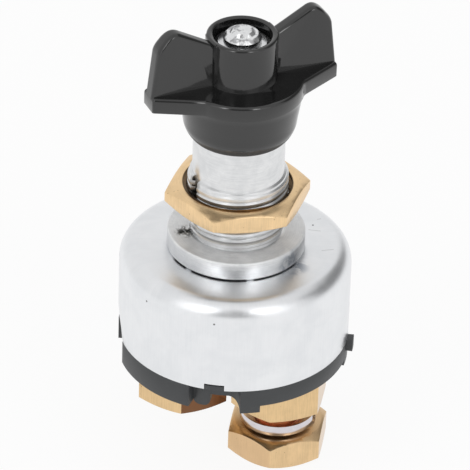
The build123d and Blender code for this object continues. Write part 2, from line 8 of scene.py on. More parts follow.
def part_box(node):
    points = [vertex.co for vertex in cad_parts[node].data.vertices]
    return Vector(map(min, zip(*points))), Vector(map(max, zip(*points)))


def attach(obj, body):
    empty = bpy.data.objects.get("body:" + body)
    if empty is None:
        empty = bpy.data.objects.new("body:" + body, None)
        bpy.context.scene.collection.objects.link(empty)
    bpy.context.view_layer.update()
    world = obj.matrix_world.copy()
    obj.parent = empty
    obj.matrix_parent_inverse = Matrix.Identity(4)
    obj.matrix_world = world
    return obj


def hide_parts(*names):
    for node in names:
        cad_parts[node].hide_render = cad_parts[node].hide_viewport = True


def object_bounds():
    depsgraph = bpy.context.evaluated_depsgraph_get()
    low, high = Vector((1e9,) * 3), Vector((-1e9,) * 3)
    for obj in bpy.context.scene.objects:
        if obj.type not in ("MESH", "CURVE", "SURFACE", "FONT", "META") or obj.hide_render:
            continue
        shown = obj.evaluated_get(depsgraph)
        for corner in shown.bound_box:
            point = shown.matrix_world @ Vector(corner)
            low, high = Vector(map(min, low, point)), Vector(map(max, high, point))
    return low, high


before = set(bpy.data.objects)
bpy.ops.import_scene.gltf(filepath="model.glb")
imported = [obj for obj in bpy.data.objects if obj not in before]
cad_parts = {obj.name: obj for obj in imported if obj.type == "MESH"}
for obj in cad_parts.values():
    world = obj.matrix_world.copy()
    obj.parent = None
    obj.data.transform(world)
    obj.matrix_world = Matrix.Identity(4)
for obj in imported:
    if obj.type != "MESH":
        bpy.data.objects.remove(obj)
cad_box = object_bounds()


# Studio
# A long lens looks down on the switch from the front. White card stands round it, with a bright
# window on each side of the lens, and the dark room shows past the lens and at the right.

lens_place = Vector((-0.00025, -0.81534, 0.53488))
lens_down = math.radians(33.379)
lens_roll = math.radians(1.837)
lens_mm = 342.13
film_width_mm = 36.0

even_card = 0.88
dark_past_lens = -0.58
dark_at_right = -0.65
lit_card = 0.32
bright_window = 3.4
card_on_matt = 0.78

floor_half = 6.0
floor_gap = 0.0002
floor_own_light = 0.9

sideways = Vector((1, 0, 0))
ahead = Vector((0, math.cos(lens_down), -math.sin(lens_down)))
upward = sideways.cross(ahead)
frame_right = sideways * math.cos(lens_roll) + upward * math.sin(lens_roll)
frame_up = upward * math.cos(lens_roll) - sideways * math.sin(lens_roll)
camera_data = bpy.data.cameras.new("camera")
camera_data.lens = lens_mm
camera_data.sensor_width = film_width_mm
camera_data.clip_start = 0.05
camera_data.clip_end = 20.0
camera = bpy.data.objects.new("camera", camera_data)
turn = Matrix((frame_right, frame_up, -ahead)).transposed()
camera.matrix_world = Matrix.Translation(lens_place) @ turn.to_4x4()
bpy.context.scene.collection.objects.link(camera)
bpy.context.scene.camera = camera
bpy.context.scene.view_settings.view_transform = "Standard"


def feed(tree, source, socket):
    """Gives a socket a number or a colour, or links another socket to it."""
    if isinstance(source, (int, float, tuple)):
        socket.default_value = source
    else:
        tree.links.new(source, socket)


def calc(tree, operation, *sources):
    """A Math node fed by numbers or sockets; gives its output."""
    made = tree.nodes.new("ShaderNodeMath")
    made.operation = operation
    for socket, source in zip(made.inputs, sources):
        feed(tree, source, socket)
    return made.outputs[0]


def product(tree, first, *others):
    """A socket times other sockets or numbers."""
    for other in others:
        first = calc(tree, "MULTIPLY", first, other)
    return first


def weighted(tree, base, *pairs):
    """A base plus each socket times its weight."""
    for source, weight in pairs:
        base = calc(tree, "MULTIPLY_ADD", source, weight, base)
    return base


def ramp_between(tree, value, low, high, out_low=0.0, out_high=1.0):
    """A smooth step of a value between two limits."""
    made = tree.nodes.new("ShaderNodeMapRange")
    made.interpolation_type = "SMOOTHSTEP"
    tree.links.new(value, made.inputs["Value"])
    limits = {"From Min": low, "From Max": high, "To Min": out_low, "To Max": out_high}
    for key, number in limits.items():
        made.inputs[key].default_value = number
    return made.outputs["Result"]


def blend(tree, share, first, second, kind="RGBA"):
    """A colour between two by a share, or a number where the kind is FLOAT."""
    made = tree.nodes.new("ShaderNodeMix")
    made.data_type = kind
    for key, source in (("Factor", share), ("A", first), ("B", second)):
        feed(tree, source, next(s for s in made.inputs if s.name == key and s.enabled))
    return next(s for s in made.outputs if s.enabled)


def panel(tree, across, height, left, right, low, high, edge):
    """1 in a panel of sky between two bearings and two heights in degrees, with soft edges."""
    return product(
        tree,
        ramp_between(tree, across, left - edge, left + edge),
        ramp_between(tree, across, right - edge, right + edge, 1.0, 0.0),
        ramp_between(tree, height, low - edge, low + edge),
        ramp_between(tree, height, high - edge, high + edge, 1.0, 0.0),
    )


world = bpy.data.worlds.new("white_tent")
world.use_nodes = True
bpy.context.scene.world = world
sky = world.node_tree
sky.nodes.clear()
parts = sky.nodes.new("ShaderNodeSeparateXYZ")
sky.links.new(sky.nodes.new("ShaderNodeTexCoord").outputs["Generated"], parts.inputs[0])
x, y, z = parts.outputs
bearing = calc(sky, "DEGREES", calc(sky, "ARCTAN2", x, product(sky, y, -1.0)))
elevation = calc(sky, "DEGREES", calc(sky, "ARCSINE", z))
shine = even_card
for left, right, low, high, edge, change in (
    (-19, 19, 6, 52, 5, dark_past_lens),
    (84, 150, 8, 48, 8, dark_at_right),
    (-54, -22, 5, 66, 5, lit_card),
    (22, 54, 5, 66, 5, lit_card),
    (-36, -25, 24, 50, 4, bright_window),
    (25, 35, 24, 50, 4, bright_window),
):
    here = panel(sky, bearing, elevation, left, right, low, high, edge)
    shine = weighted(sky, shine, (here, change))
path = sky.nodes.new("ShaderNodeLightPath")
mirrored = calc(sky, "MAXIMUM", path.outputs["Is Glossy Ray"], path.outputs["Is Transmission Ray"])
plain = blend(sky, mirrored, card_on_matt, shine, "FLOAT")
glow = sky.nodes.new("ShaderNodeBackground")
glow.inputs["Color"].default_value = (1.0, 1.0, 1.0, 1.0)
sky.links.new(blend(sky, path.outputs["Is Camera Ray"], plain, 1.0, "FLOAT"), glow.inputs["Strength"])
sky.links.new(glow.outputs[0], sky.nodes.new("ShaderNodeOutputWorld").inputs["Surface"])

for lamp_name, lamp_place, lamp_watts in (
    ("left_lamp", (-0.75, -0.75, 0.75), 2.2),
    ("right_lamp", (0.62, -0.82, 0.7), 1.8),
):
    lamp_data = bpy.data.lights.new(lamp_name, "AREA")
    lamp_data.shape = "RECTANGLE"
    lamp_data.size = 0.45
    lamp_data.size_y = 0.6
    lamp_data.energy = lamp_watts
    lamp = bpy.data.objects.new(lamp_name, lamp_data)
    aim = (-Vector(lamp_place)).to_track_quat("-Z", "Y")
    lamp.matrix_world = Matrix.Translation(lamp_place) @ aim.to_matrix().to_4x4()
    lamp.visible_glossy = False
    bpy.context.scene.collection.objects.link(lamp)

floor_mesh = bpy.data.meshes.new("floor")
floor_z = cad_box[0].z - floor_gap
floor_signs = ((-1, -1), (1, -1), (1, 1), (-1, 1))
floor_corners = [(x * floor_half, y * floor_half, floor_z) for x, y in floor_signs]
floor_mesh.from_pydata(floor_corners, [], [(0, 1, 2, 3)])
floor = bpy.data.objects.new("floor", floor_mesh)
bpy.context.scene.collection.objects.link(floor)
paper = bpy.data.materials.new("white_paper")
paper.use_nodes = True
sheet = paper.node_tree
sheet.nodes.clear()
path = sheet.nodes.new("ShaderNodeLightPath")
matt = sheet.nodes.new("ShaderNodeBsdfDiffuse")
matt.inputs["Color"].default_value = (0.88, 0.88, 0.88, 1)
lit = sheet.nodes.new("ShaderNodeEmission")
lit.inputs["Color"].default_value = (1.0, 1.0, 1.0, 1)
lit.inputs["Strength"].default_value = 1.0
share = calc(sheet, "MAXIMUM", path.outputs["Is Camera Ray"], path.outputs["Is Glossy Ray"])
share = calc(sheet, "MAXIMUM", share, path.outputs["Is Transmission Ray"])
joined = sheet.nodes.new("ShaderNodeMixShader")
sheet.links.new(product(sheet, share, floor_own_light), joined.inputs[0])
sheet.links.new(matt.outputs[0], joined.inputs[1])
sheet.links.new(lit.outputs[0], joined.inputs[2])
sheet.links.new(joined.outputs[0], sheet.nodes.new("ShaderNodeOutputMaterial").inputs["Surface"])
floor_mesh.materials.append(paper)


# Housing can
# A deep-drawn cup of thin steel sheet, zinc plated, open below. The drawing leaves faint upright
# streaks on its wall. Its top carries handling marks and a painted dark reflection at the right
# front, and its foot is pressed in at the left.

can_radius = 0.0255
can_outside = can_radius - 0.0004
can_top = -0.0043
can_edge = 0.00012
can_dull = (0.78, 0.795, 0.815, 1)
can_bright = (0.86, 0.87, 0.885, 1)

speck_size = 0.00022
speck_black = (0.08, 0.08, 0.08, 1)
can_specks = (
    (-0.01312, -0.01957, -0.0043),
    (-0.01360, -0.02053, -0.0045),
    (0.01683, 0.00798, -0.0043),
    (-0.01889, -0.01713, -0.0089),
    (-0.00412, -0.02516, -0.0089),
)

scratch_half_width = 0.00016
scratch_strength = 0.45
scratch_grey = (0.35, 0.35, 0.35, 1)
can_scratches = (
    ((0.01568, 0.00612, can_top), (0.01870, 0.00566, can_top)),
    ((0.01771, 0.01035, can_top), (0.01869, 0.01066, can_top)),
    ((0.01861, -0.00209, can_top), (0.02157, -0.00141, can_top)),
)

# A painted dark reflection on the top at the right front, beside the flange.
dark_reflection_place = (0.0131, -0.0090, can_top)
dark_reflection_size = 0.0026
dark_reflection_strength = 0.75
dark_reflection_grey = (0.32, 0.36, 0.42, 1)

pressed_azimuth = 186.0
pressed_width = 15.0
pressed_depth = 0.00075
pressed_from = -0.0200
pressed_middle = -0.0235
pressed_height = 0.0062


def surface_copy(node_name, piece_name):
    """A merged copy of a solid's surface, standing for the solid."""
    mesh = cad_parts[node_name].data.copy()
    mesh.name = piece_name
    shape = bmesh.new()
    shape.from_mesh(mesh)
    bmesh.ops.remove_doubles(shape, verts=shape.verts, dist=2e-6)
    bmesh.ops.dissolve_limit(shape, angle_limit=math.radians(0.06), verts=shape.verts, edges=shape.edges)
    shape.to_mesh(mesh)
    shape.free()
    if "custom_normal" in mesh.attributes:
        mesh.attributes.remove(mesh.attributes["custom_normal"])
    mesh.materials.clear()
    piece = bpy.data.objects.new(piece_name, mesh)
    bpy.context.scene.collection.objects.link(piece)
    return piece


def cut_across(shape, place, direction):
    """Adds edges where a plane meets a shape, so that the shape can bend there."""
    everything = shape.verts[:] + shape.edges[:] + shape.faces[:]
    bmesh.ops.bisect_plane(shape, geom=everything, plane_co=place, plane_no=direction)


def radius_of(corner, axis=(0.0, 0.0)):
    """A corner's distance from an upright axis."""
    return math.hypot(corner.co.x - axis[0], corner.co.y - axis[1])


def set_radius(corner, radius, axis=(0.0, 0.0)):
    """Moves a corner straight in or out to a distance from an upright axis."""
    scale = radius / radius_of(corner, axis)
    corner.co.x = axis[0] + (corner.co.x - axis[0]) * scale
    corner.co.y = axis[1] + (corner.co.y - axis[1]) * scale


def baked(piece, smooth_angle=32.0):
    """Applies a piece's modifiers and shades it smooth between its edges."""
    bpy.context.view_layer.update()
    mesh = bpy.data.meshes.new_from_object(piece.evaluated_get(bpy.context.evaluated_depsgraph_get()))
    mesh.name = piece.name
    piece.modifiers.clear()
    piece.data = mesh
    mesh.shade_smooth()
    mesh.set_sharp_from_angle(angle=math.radians(smooth_angle))
    return piece


def edges_broken(piece, width, segments=2, edge_angle=30.0, smooth_angle=32.0):
    """Small rounded edges where faces meet at an angle."""
    soften = piece.modifiers.new("edge", "BEVEL")
    soften.width = width
    soften.segments = segments
    soften.limit_method = "ANGLE"
    soften.angle_limit = math.radians(edge_angle)
    return baked(piece, smooth_angle)


def stands_for(piece, node_name, body, finish):
    """Gives a piece its finish, hides the solid that it stands for, and lets it ride."""
    piece.data.materials.append(finish)
    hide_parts(node_name)
    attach(piece, body)


def finish_start(name, metallic):
    """A new material with its node tree and its shader."""
    made = bpy.data.materials.new(name)
    made.use_nodes = True
    tree = made.node_tree
    shader = tree.nodes["Principled BSDF"]
    shader.inputs["Metallic"].default_value = metallic
    return made, tree, shader


def dress(tree, shader, colour, roughness, relief, strength, depth):
    """Links a finish's colour, roughness and relief to its shader."""
    bump = tree.nodes.new("ShaderNodeBump")
    bump.inputs["Strength"].default_value = strength
    bump.inputs["Distance"].default_value = depth
    tree.links.new(relief, bump.inputs["Height"])
    tree.links.new(colour, shader.inputs["Base Color"])
    tree.links.new(roughness, shader.inputs["Roughness"])
    tree.links.new(bump.outputs["Normal"], shader.inputs["Normal"])


def object_point(tree, centre=(0.0, 0.0)):
    """The point in Object coordinates, measured from an upright axis."""
    point = tree.nodes.new("ShaderNodeTexCoord").outputs["Object"]
    if centre != (0.0, 0.0):
        moved = tree.nodes.new("ShaderNodeMapping")
        moved.inputs["Location"].default_value = (-centre[0], -centre[1], 0)
        tree.links.new(point, moved.inputs["Vector"])
        point = moved.outputs[0]
    return point


def split(tree, point):
    """A point's three coordinates."""
    parts = tree.nodes.new("ShaderNodeSeparateXYZ")
    tree.links.new(point, parts.inputs[0])
    return parts.outputs


def around_axis(tree, point):
    """A point's azimuth, its distance from the upright axis and its height."""
    x, y, z = split(tree, point)
    azimuth = calc(tree, "ARCTAN2", y, x)
    reach = calc(tree, "SQRT", weighted(tree, product(tree, x, x), (y, y)))
    return azimuth, reach, z


def as_vector(tree, *sources):
    """Three numbers or sockets joined to a vector."""
    made = tree.nodes.new("ShaderNodeCombineXYZ")
    for socket, source in zip(made.inputs, sources):
        feed(tree, source, socket)
    return made.outputs[0]


def noise(tree, vector, scale, detail=3.0, roughness=0.55, distortion=0.0):
    """A noise texture's value."""
    made = tree.nodes.new("ShaderNodeTexNoise")
    tree.links.new(vector, made.inputs["Vector"])
    made.inputs["Scale"].default_value = scale
    made.inputs["Detail"].default_value = detail
    made.inputs["Roughness"].default_value = roughness
    made.inputs["Distortion"].default_value = distortion
    return made.outputs["Fac"]


def spot(tree, point, place, size):
    """1 within a small distance of a place, fading to 0."""
    away = tree.nodes.new("ShaderNodeVectorMath")
    away.operation = "DISTANCE"
    tree.links.new(point, away.inputs[0])
    away.inputs[1].default_value = place
    return ramp_between(tree, away.outputs["Value"], size * 0.5, size * 1.4, 1.0, 0.0)


def along_direction(tree, vector, direction):
    """How far a vector reaches in a direction."""
    dot = tree.nodes.new("ShaderNodeVectorMath")
    dot.operation = "DOT_PRODUCT"
    tree.links.new(vector, dot.inputs[0])
    dot.inputs[1].default_value = direction
    return dot.outputs["Value"]


def scratch(tree, point, start, end, half_width):
    """1 along a fine straight line between two places."""
    start, end = Vector(start), Vector(end)
    half_length = (end - start).length / 2
    along = (end - start).normalized()
    across = along.cross(Vector((0, 0, 1))).normalized()
    inside = []
    for direction, full, reach in (
        (along, half_length * 0.8, half_length),
        (across, half_width * 0.5, half_width),
    ):
        middle = (start + end).dot(direction) / 2
        offset = calc(tree, "SUBTRACT", along_direction(tree, point, direction), middle)
        inside.append(ramp_between(tree, calc(tree, "ABSOLUTE", offset), full, reach, 1.0, 0.0))
    return product(tree, *inside)


zinc, tree, shader = finish_start("drawn_zinc_plate", 1.0)
point = object_point(tree)
azimuth, reach, height = around_axis(tree, point)
drawn_lines = as_vector(tree, product(tree, azimuth, 7.0), product(tree, height, 12.0), 0.0)
streaks = noise(tree, drawn_lines, 9.0, 4.0, 0.7)
clouds = noise(tree, point, 150.0, 3.0, 0.55, 0.4)
grain = noise(tree, point, 2600.0, 2.0, 0.5)
shade = ramp_between(tree, weighted(tree, 0.0, (streaks, 0.3), (clouds, 0.7)), 0.3, 0.7)
colour = blend(tree, shade, can_dull, can_bright)
specks = 0.0
for place in can_specks:
    specks = calc(tree, "MAXIMUM", spot(tree, point, place, speck_size), specks)
colour = blend(tree, specks, colour, speck_black)
# The painted dark reflection on the top, broken into patches.
patches = ramp_between(tree, noise(tree, point, 420.0, 4.0, 0.6, 0.8), 0.36, 0.54)
dark_reflection = product(tree, spot(tree, point, dark_reflection_place, dark_reflection_size), patches, dark_reflection_strength)
colour = blend(tree, dark_reflection, colour, dark_reflection_grey)
for start, end in can_scratches:
    line = scratch(tree, point, start, end, scratch_half_width)
    colour = blend(tree, product(tree, line, scratch_strength), colour, scratch_grey)
rough = weighted(tree, 0.2, (clouds, 0.16), (streaks, 0.08))
relief = weighted(tree, 0.0, (streaks, 0.5), (grain, 0.5))
dress(tree, shader, colour, rough, relief, 0.25, 0.00006)

can = surface_copy("housing_can", "can_shell")
shape = bmesh.new()
shape.from_mesh(can.data)
for level in (pressed_from, pressed_middle):
    cut_across(shape, (0, 0, level), (0, 0, 1))
for corner in shape.verts:
    from_pressed = (math.degrees(math.atan2(corner.co.y, corner.co.x)) - pressed_azimuth + 180) % 360 - 180
    from_axis = radius_of(corner)
    if abs(from_pressed) < pressed_width and from_axis > can_outside:
        share = 0.5 + 0.5 * math.cos(math.pi * from_pressed / pressed_width)
        how_low = min(max((pressed_from - corner.co.z) / pressed_height, 0.0), 1.0)
        set_radius(corner, from_axis * (1 - pressed_depth * share * how_low ** 1.5 / can_radius))
shape.to_mesh(can.data)
shape.free()
edges_broken(can, can_edge)
stands_for(can, "housing_can", "switch_body", zinc)


# Mounting bush
# One turned steel piece, zinc plated: the flange on the can, the neck and its thread, with a key
# slot milled down the thread's left side and a punched stake beside the slot on the flange.

thread_pitch = 0.0015
thread_crest = 0.01098
thread_root = 0.01062
thread_low = 0.00345
thread_high = 0.01470
thread_runout = 0.0008
foot_low = 0.0002
foot_root = 0.0099
foot_ridge = 0.0005
bush_edge = 0.00010
bush_dull = (0.66, 0.67, 0.68, 1)
bush_bright = (0.83, 0.835, 0.84, 1)

slot_azimuth = math.radians(-152.0)
slot_half_width = 0.0013
slot_floor = 0.0099
slot_low = 0.0004
slot_top = 0.0148
# The painted shade in the key slot.
slot_shade_strength = 0.8
slot_shade_grey = (0.20, 0.19, 0.175, 1)
torn_low = 0.0030
torn_top = 0.0152

stake_place = (-0.01097, -0.00273, -0.0002)
stake_size = 0.0022
stake_grey = (0.16, 0.16, 0.155, 1)

# A painted dark reflection on the flange's side at the right front.
flange_reflection_place = (0.0118, -0.0094, -0.0030)
flange_reflection_size = 0.0030
flange_reflection_strength = 0.75
flange_reflection_grey = (0.30, 0.33, 0.38, 1)

# A painted shadow band at the flange's foot, where it meets the can.
shadow_seam_top = can_top + 0.00042
shadow_seam_radius = 0.0149
shadow_seam_ends = ((-2.75, -2.60), (-0.42, -0.58))
shadow_seam_closed = (-2.31, -1.344)
shadow_seam_black = (0.015, 0.015, 0.015, 1)

dull_low = -0.0006
dull_high = 0.0014
dull_radius = 0.0107


def thread_tree():
    """A helical ridge of trapezoid section that fades out at both ends and stops at a key slot."""
    tree = bpy.data.node_groups.new("thread_ridge", "GeometryNodeTree")
    face = tree.interface
    face.new_socket("Geometry", in_out="INPUT", socket_type="NodeSocketGeometry")
    for label, value in (
        ("Turns", 7.0), ("Length", 0.0105), ("Root Radius", 0.01), ("Ridge Height", 0.0009),
        ("Foot Width", 0.0014), ("Crest Width", 0.0002), ("Low Height", 0.0),
        ("Slot Azimuth", 0.0), ("Slot Half Width", 0.0), ("Slot Radius", 0.01),
    ):
        face.new_socket(label, in_out="INPUT", socket_type="NodeSocketFloat").default_value = value
    face.new_socket("Finish", in_out="INPUT", socket_type="NodeSocketMaterial")
    face.new_socket("Geometry", in_out="OUTPUT", socket_type="NodeSocketGeometry")
    given = tree.nodes.new("NodeGroupInput").outputs

    # The section is swept along a helix, and shrinks towards both ends.
    line = tree.nodes.new("GeometryNodeCurveSpiral")
    line.inputs["Resolution"].default_value = 120
    line.inputs["Reverse"].default_value = True
    for key, source in (
        ("Rotations", "Turns"), ("Height", "Length"),
        ("Start Radius", "Root Radius"), ("End Radius", "Root Radius"),
    ):
        tree.links.new(given[source], line.inputs[key])
    upright = tree.nodes.new("GeometryNodeSetCurveNormal")
    upright.mode = "Z_UP"
    tree.links.new(line.outputs[0], upright.inputs["Curve"])
    section = tree.nodes.new("GeometryNodeCurvePrimitiveQuadrilateral")
    section.mode = "POINTS"
    crest = given["Ridge Height"]
    sunk = product(tree, crest, -0.12)
    for number, reach, width, side in (
        (1, crest, "Crest Width", 0.5), (2, crest, "Crest Width", -0.5),
        (3, sunk, "Foot Width", -0.5), (4, sunk, "Foot Width", 0.5),
    ):
        corner = as_vector(tree, reach, product(tree, given[width], side), 0.0)
        tree.links.new(corner, section.inputs[f"Point {number}"])
    along = tree.nodes.new("GeometryNodeSplineParameter").outputs["Factor"]
    fade = product(tree, ramp_between(tree, along, 0.0, 0.05, 0.02, 1.0),
                   ramp_between(tree, along, 0.95, 1.0, 1.0, 0.02))
    swept = tree.nodes.new("GeometryNodeCurveToMesh")
    swept.inputs["Fill Caps"].default_value = True
    tree.links.new(upright.outputs[0], swept.inputs["Curve"])
    tree.links.new(section.outputs[0], swept.inputs["Profile Curve"])
    tree.links.new(fade, swept.inputs["Scale"])

    # The ridge goes back to the slot's floor where the key slot crosses it.
    x, y, z = split(tree, tree.nodes.new("GeometryNodeInputPosition").outputs[0])
    outward_x, outward_y = (calc(tree, kind, given["Slot Azimuth"]) for kind in ("COSINE", "SINE"))
    reach = weighted(tree, product(tree, x, outward_x), (y, outward_y))
    aside = calc(tree, "SUBTRACT", product(tree, y, outward_x), product(tree, x, outward_y))
    in_slot = calc(tree, "LESS_THAN", calc(tree, "ABSOLUTE", aside), given["Slot Half Width"])
    too_far = calc(tree, "MAXIMUM", calc(tree, "SUBTRACT", reach, given["Slot Radius"]), 0.0)
    inwards = product(tree, in_slot, too_far, -1.0)
    pushed = as_vector(tree, product(tree, inwards, outward_x), product(tree, inwards, outward_y),
                       given["Low Height"])
    placed = tree.nodes.new("GeometryNodeSetPosition")
    tree.links.new(swept.outputs[0], placed.inputs["Geometry"])
    tree.links.new(pushed, placed.inputs["Offset"])
    real = tree.nodes.new("GeometryNodeRealizeInstances")
    tree.links.new(placed.outputs[0], real.inputs[0])
    painted = tree.nodes.new("GeometryNodeSetMaterial")
    tree.links.new(real.outputs[0], painted.inputs["Geometry"])
    tree.links.new(given["Finish"], painted.inputs["Material"])
    tree.links.new(painted.outputs[0], tree.nodes.new("NodeGroupOutput").inputs[0])
    return tree


thread_group = thread_tree()


def cut_thread(piece_name, finish, low, high, root, ridge, at=(0.0, 0.0), slotted=False):
    """A thread between two heights; a negative ridge stands inwards from a bore."""
    piece = bpy.data.objects.new(piece_name, bpy.data.meshes.new(piece_name))
    bpy.context.scene.collection.objects.link(piece)
    maker = piece.modifiers.new("thread", "NODES")
    maker.node_group = thread_group
    wanted = {
        "Turns": (high - low) / thread_pitch, "Length": high - low, "Low Height": low,
        "Root Radius": root, "Ridge Height": ridge,
        "Foot Width": thread_pitch * 0.94, "Crest Width": thread_pitch * 0.42,
        "Slot Azimuth": slot_azimuth, "Slot Half Width": slot_half_width if slotted else 0.0,
        "Slot Radius": slot_floor, "Finish": finish,
    }
    for item in thread_group.interface.items_tree:
        if item.item_type == "SOCKET" and item.in_out == "INPUT" and item.name in wanted:
            maker[item.identifier] = wanted[item.name]
    baked(piece)
    shape = bmesh.new()
    shape.from_mesh(piece.data)
    bmesh.ops.translate(shape, verts=shape.verts, vec=(at[0], at[1], 0.0))
    bmesh.ops.recalc_face_normals(shape, faces=shape.faces)
    shape.to_mesh(piece.data)
    shape.free()
    return piece


turned_zinc, tree, shader = finish_start("turned_zinc_plate", 1.0)
point = object_point(tree)
azimuth, reach, height = around_axis(tree, point)
rings = noise(tree, as_vector(tree, reach, product(tree, azimuth, 0.0004), height), 5200.0, 3.0, 0.6)
clouds = noise(tree, point, 320.0, 4.0, 0.6, 0.3)
shade = ramp_between(tree, weighted(tree, 0.0, (rings, 0.4), (clouds, 0.6)), 0.3, 0.7)
colour = blend(tree, shade, bush_dull, bush_bright)

# The stake's ragged burr.
patches = ramp_between(tree, noise(tree, point, 800.0, 3.0, 0.6, 1.5), 0.46, 0.56)
scarred = product(tree, spot(tree, point, stake_place, stake_size), patches)
colour = blend(tree, scarred, colour, stake_grey)

# Painted shade in the key slot, and the thread's torn ends beside it darkened with the same grey.
in_key_slot = product(
    tree,
    ramp_between(tree, reach, slot_floor, slot_floor + 0.0004, 1.0, 0.0),
    ramp_between(tree, height, slot_low, slot_low + 0.0006),
    ramp_between(tree, height, slot_top - 0.0006, slot_top, 1.0, 0.0),
)
from_slot = calc(tree, "ABSOLUTE", calc(tree, "SUBTRACT", azimuth, slot_azimuth))
torn = product(
    tree,
    ramp_between(tree, from_slot, 0.16, 0.24, 1.0, 0.0),
    ramp_between(tree, height, torn_low, torn_low + 0.0006),
    ramp_between(tree, height, torn_top - 0.0006, torn_top, 0.75, 0.0),
)
dark = product(tree, calc(tree, "MAXIMUM", in_key_slot, torn), slot_shade_strength)
colour = blend(tree, dark, colour, slot_shade_grey)

# Painted shadow of a seam between the flange and the can: a black band round the flange's foot, which
# stops at its ends and at two places.
shadow_seam = product(tree, ramp_between(tree, height, shadow_seam_top - 0.00014, shadow_seam_top, 1.0, 0.0),
               ramp_between(tree, reach, shadow_seam_radius - 0.0003, shadow_seam_radius))
for shut, open_again in shadow_seam_ends:
    shadow_seam = product(tree, shadow_seam, ramp_between(tree, azimuth, shut, open_again))
for closed_at in shadow_seam_closed:
    from_closed = calc(tree, "ABSOLUTE", calc(tree, "SUBTRACT", azimuth, closed_at))
    shadow_seam = product(tree, shadow_seam, ramp_between(tree, from_closed, 0.03, 0.07))
colour = blend(tree, shadow_seam, colour, shadow_seam_black)

# The painted dark reflection on the flange's side, broken into patches.
patches = ramp_between(tree, noise(tree, point, 420.0, 4.0, 0.6, 0.8), 0.40, 0.60)
flange_reflection = product(tree, spot(tree, point, flange_reflection_place, flange_reflection_size), patches, flange_reflection_strength)
colour = blend(tree, flange_reflection, colour, flange_reflection_grey)

# The flange's top is duller than the rest.
dull_top = product(
    tree,
    ramp_between(tree, height, dull_high - 0.0004, dull_high, 1.0, 0.0),
    ramp_between(tree, reach, dull_radius - 0.0003, dull_radius),
    ramp_between(tree, height, dull_low, dull_low + 0.0005),
)
tree.links.new(weighted(tree, 1.0, (dull_top, -0.4)), shader.inputs["Metallic"])
rough = weighted(tree, 0.22, (clouds, 0.2), (dull_top, 0.15))
relief = weighted(tree, 0.0, (rings, 0.6), (clouds, 0.4), (scarred, 7.0))
dress(tree, shader, colour, rough, relief, 0.35, 0.00005)

bush = surface_copy("mounting_bush", "bush_body")
for corner in bush.data.vertices:
    on_thread = thread_low - thread_runout < corner.co.z < thread_high + thread_runout
    if on_thread and radius_of(corner) > thread_root:
        set_radius(corner, thread_root)
edges_broken(bush, bush_edge)
stands_for(bush, "mounting_bush", "switch_body", turned_zinc)

neck_thread = cut_thread("neck_thread", turned_zinc, thread_low, thread_high, thread_root,
                         thread_crest - thread_root, slotted=True)
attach(neck_thread, "switch_body")
foot_thread = cut_thread("neck_foot_thread", turned_zinc, foot_low, thread_low, foot_root, foot_ridge)
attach(foot_thread, "switch_body")


# Panel nut
# A thin hexagon nut turned from brass bar. Its flats keep the bar's lengthwise grain, its faces
# are turned and greyer on those that look down, its bore is painted dark as shade, and it is
# loose on the neck's thread.

nut_low = 0.0070
nut_high = 0.0116
nut_bore_root = 0.01188
nut_ridge = 0.00072
nut_bore_rim = 0.01214
nut_edge = 0.00015
nut_yellow = (0.91, 0.66, 0.38)
nut_downward_grey = (((0, 0, -1), 0.5, (0.55, 0.53, 0.50, 1)),)
pit_brown = (0.25, 0.15, 0.07, 1)
bore_shade_brown = (0.10, 0.06, 0.03, 1)


def facing(tree, direction):
    """1 on the faces that look in a direction."""
    outwards = tree.nodes.new("ShaderNodeTexCoord").outputs["Normal"]
    return ramp_between(tree, along_direction(tree, outwards, direction), 0.78, 0.92)


def flat_towards(azimuth_deg):
    """The outward direction of a flat at an azimuth in degrees."""
    turned = math.radians(azimuth_deg)
    return math.cos(turned), math.sin(turned), 0.0


def brass_finish(name, centre, low, high, tint, face_tints=(), core=0.0, core_colour=bore_shade_brown):
    """Bar brass with grain, turned faces and pits; face tints colour whole faces by their direction, core
    the middle.
    """
    made, tree, shader = finish_start(name, 1.0)
    point = object_point(tree, centre)
    azimuth, reach, height = around_axis(tree, point)
    x, y, z = split(tree, point)
    on_face = calc(tree, "MAXIMUM", ramp_between(tree, height, high - 0.0005, high - 0.0001),
                   ramp_between(tree, height, low + 0.0001, low + 0.0005, 1.0, 0.0))
    grain = noise(tree, as_vector(tree, x, y, product(tree, z, 0.06)), 3600.0, 3.0, 0.65)
    turned_lines = as_vector(tree, reach, 0.0, product(tree, azimuth, 0.0002))
    rings = noise(tree, turned_lines, 5200.0, 3.0, 0.6)
    lines = blend(tree, on_face, grain, rings, "FLOAT")
    clouds = noise(tree, point, 260.0, 3.0, 0.55, 0.4)
    pits = ramp_between(tree, noise(tree, point, 1300.0, 2.0, 0.5), 0.24, 0.3, 1.0, 0.0)
    shade = ramp_between(tree, weighted(tree, 0.0, (lines, 0.5), (clouds, 0.5)), 0.3, 0.7)
    darker = tuple(c * 0.84 for c in tint) + (1,)
    lighter = tuple(min(1.0, c * 1.06) for c in tint) + (1,)
    colour = blend(tree, shade, darker, lighter)
    colour = blend(tree, product(tree, pits, 0.6), colour, pit_brown)
    for direction, share, face_colour in face_tints:
        colour = blend(tree, product(tree, facing(tree, direction), share), colour, face_colour)
    if core:
        in_core = product(tree, ramp_between(tree, reach, core - 0.0001, core, 0.9, 0.0),
                          ramp_between(tree, height, low + 0.0002, low + 0.0004))
        colour = blend(tree, in_core, colour, core_colour)
    rough = weighted(tree, 0.24, (clouds, 0.18))
    relief = weighted(tree, 0.0, (lines, 0.8), (pits, -0.5))
    dress(tree, shader, colour, rough, relief, 0.35, 0.00005)
    return made


